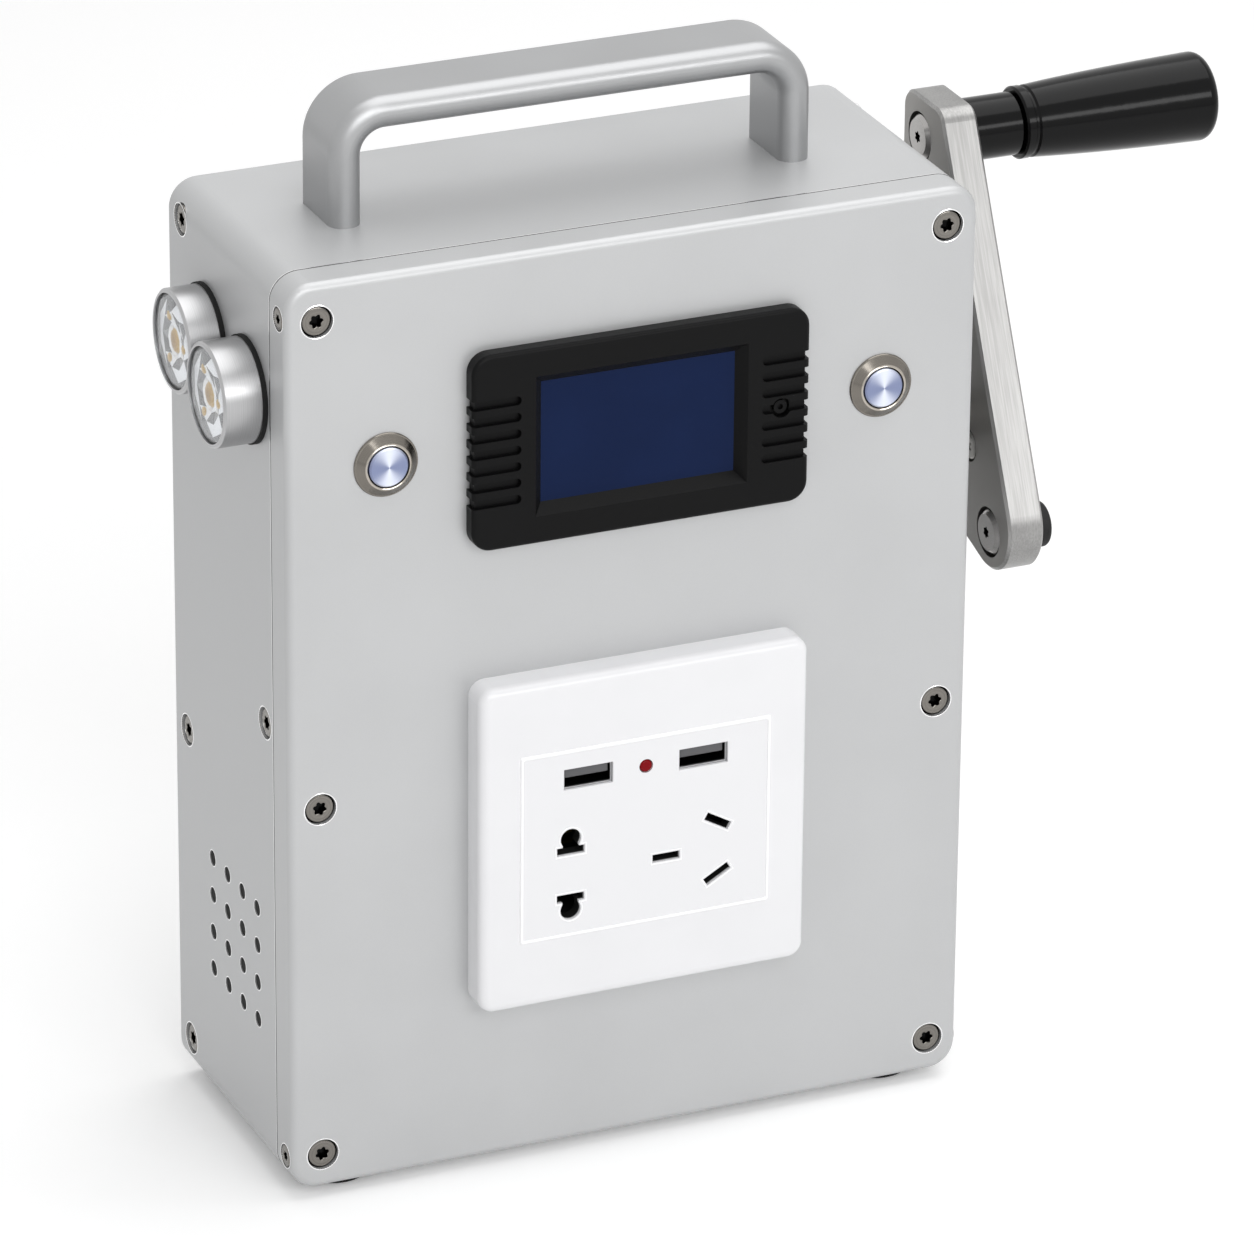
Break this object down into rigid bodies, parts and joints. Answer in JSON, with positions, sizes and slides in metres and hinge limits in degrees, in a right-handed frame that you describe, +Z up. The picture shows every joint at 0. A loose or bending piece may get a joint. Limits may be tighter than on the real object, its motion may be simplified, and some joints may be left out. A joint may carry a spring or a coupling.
{
  "type": "hand crank generator",
  "caption": "Boxy aluminium hand crank generator with carry handle, side lamps, meter, push buttons, mains and USB outlets, and a side crank with a turning grip.",
  "frame": {"origin": "on the floor, under the middle of the case", "axes": "+X to the right as the front is seen, towards the crank; -Y out of the front panel; +Z up"},
  "size_m": [0.2784, 0.0844, 0.27],
  "materials": {
    "case_aluminium": "fine satin",
    "bright_aluminium": "polished",
    "brushed_aluminium": "brushed",
    "screw_steel": "turned stainless",
    "nickel_rim": "turned nickel",
    "button_face": "radially brushed",
    "machined_steel": "machined",
    "gear_steel": "machined",
    "brass_contact": "bare",
    "black_plastic": "matte",
    "black_gloss": "glossy",
    "black_rubber": "matte",
    "screen_blue": "satin",
    "white_plastic": "gloss",
    "clear_lens": "clear",
    "led_board": "matte",
    "red_lens": "gloss",
    "pack_wrap": "matte",
    "board_green": "matte"
  },
  "bodies": {
    "casing": {"casing_sleeve": "case_aluminium", "front_cover": "case_aluminium", "rear_panel": "case_aluminium", "front_blocks": "brushed_aluminium", "rear_blocks": "brushed_aluminium", "front_cover_screws": "screw_steel", "cover_flange_screws": "screw_steel", "side_screws": "screw_steel", "rear_panel_screws": "screw_steel", "rubber_feet": "black_rubber", "foot_screws": "screw_steel", "carry_handle": "case_aluminium", "handle_bolts": "screw_steel", "lamp_front_barrel": "bright_aluminium", "lamp_rear_barrel": "bright_aluminium", "lamp_gaskets": "black_rubber", "lamp_front_lens": "clear_lens", "lamp_rear_lens": "clear_lens", "lamp_led_boards": "led_board", "meter_bezel": "black_plastic", "meter_screen": "screen_blue", "meter_case": "black_plastic", "meter_screw": "black_plastic", "socket_plate": "white_plastic", "socket_module": "white_plastic", "socket_back_box": "black_plastic", "usb_port_left": "machined_steel", "usb_port_right": "machined_steel", "socket_contacts": "brass_contact", "socket_indicator": "red_lens", "button_left_body": "nickel_rim", "button_right_body": "nickel_rim", "panel_nuts": "nickel_rim", "gearbox_outer_plate": "brushed_aluminium", "gearbox_inner_plate": "brushed_aluminium", "gearbox_pillars": "machined_steel", "gearbox_screws": "screw_steel", "shaft_bearings": "machined_steel", "idler_axle": "machined_steel", "generator_body": "machined_steel", "battery_pack": "pack_wrap", "control_board": "board_green", "fan_frame": "black_plastic"},
    "crank": {"crank_arm": "brushed_aluminium", "crank_hub": "machined_steel", "hub_screws": "screw_steel", "shaft_end_screw": "screw_steel", "nose_bolt": "machined_steel", "arm_bumper": "black_rubber", "grip_spindle": "machined_steel", "grip_collar": "black_plastic", "crank_shaft": "machined_steel", "drive_gear": "gear_steel"},
    "grip": {"crank_grip": "black_gloss", "grip_cap": "black_gloss"},
    "idler": {"idler_gear": "gear_steel"},
    "rotor": {"generator_rotor": "gear_steel"},
    "fan": {"fan_rotor": "black_plastic"},
    "left_button": {"button_left_cap": "button_face"},
    "right_button": {"button_right_cap": "button_face"}
  },
  "joints": [
    {"name": "crank_turn", "type": "hinge", "parent": "casing", "child": "crank", "pos_m": [0.1, 0.002, 0.161], "axis": [1, 0, 0], "continuous": true},
    {"name": "grip_spin", "type": "hinge", "parent": "crank", "child": "grip", "pos_m": [0.15, 0.02, 0.229], "axis": [1, 0, 0], "continuous": true},
    {"name": "idler_turn", "type": "hinge", "parent": "casing", "child": "idler", "pos_m": [0.07, 0.01, 0.13209], "axis": [1, 0, 0], "continuous": true},
    {"name": "rotor_turn", "type": "hinge", "parent": "casing", "child": "rotor", "pos_m": [0.04, 0.012, 0.10717], "axis": [1, 0, 0], "continuous": true},
    {"name": "fan_spin", "type": "hinge", "parent": "casing", "child": "fan", "pos_m": [-0.0814, -0.001, 0.055], "axis": [1, 0, 0], "continuous": true},
    {"name": "left_button_press", "type": "slide", "parent": "casing", "child": "left_button", "axis": [0, 1, 0], "range_m": [0, 0.0015], "stiffness_N_per_m": 600, "springref_m": -0.002},
    {"name": "right_button_press", "type": "slide", "parent": "casing", "child": "right_button", "axis": [0, 1, 0], "range_m": [0, 0.0015], "stiffness_N_per_m": 600, "springref_m": -0.002}
  ],
  "couplings": [
    {"joint": "idler_turn", "follows": "crank_turn", "ratio": -4},
    {"joint": "rotor_turn", "follows": "crank_turn", "ratio": 16}
  ]
}
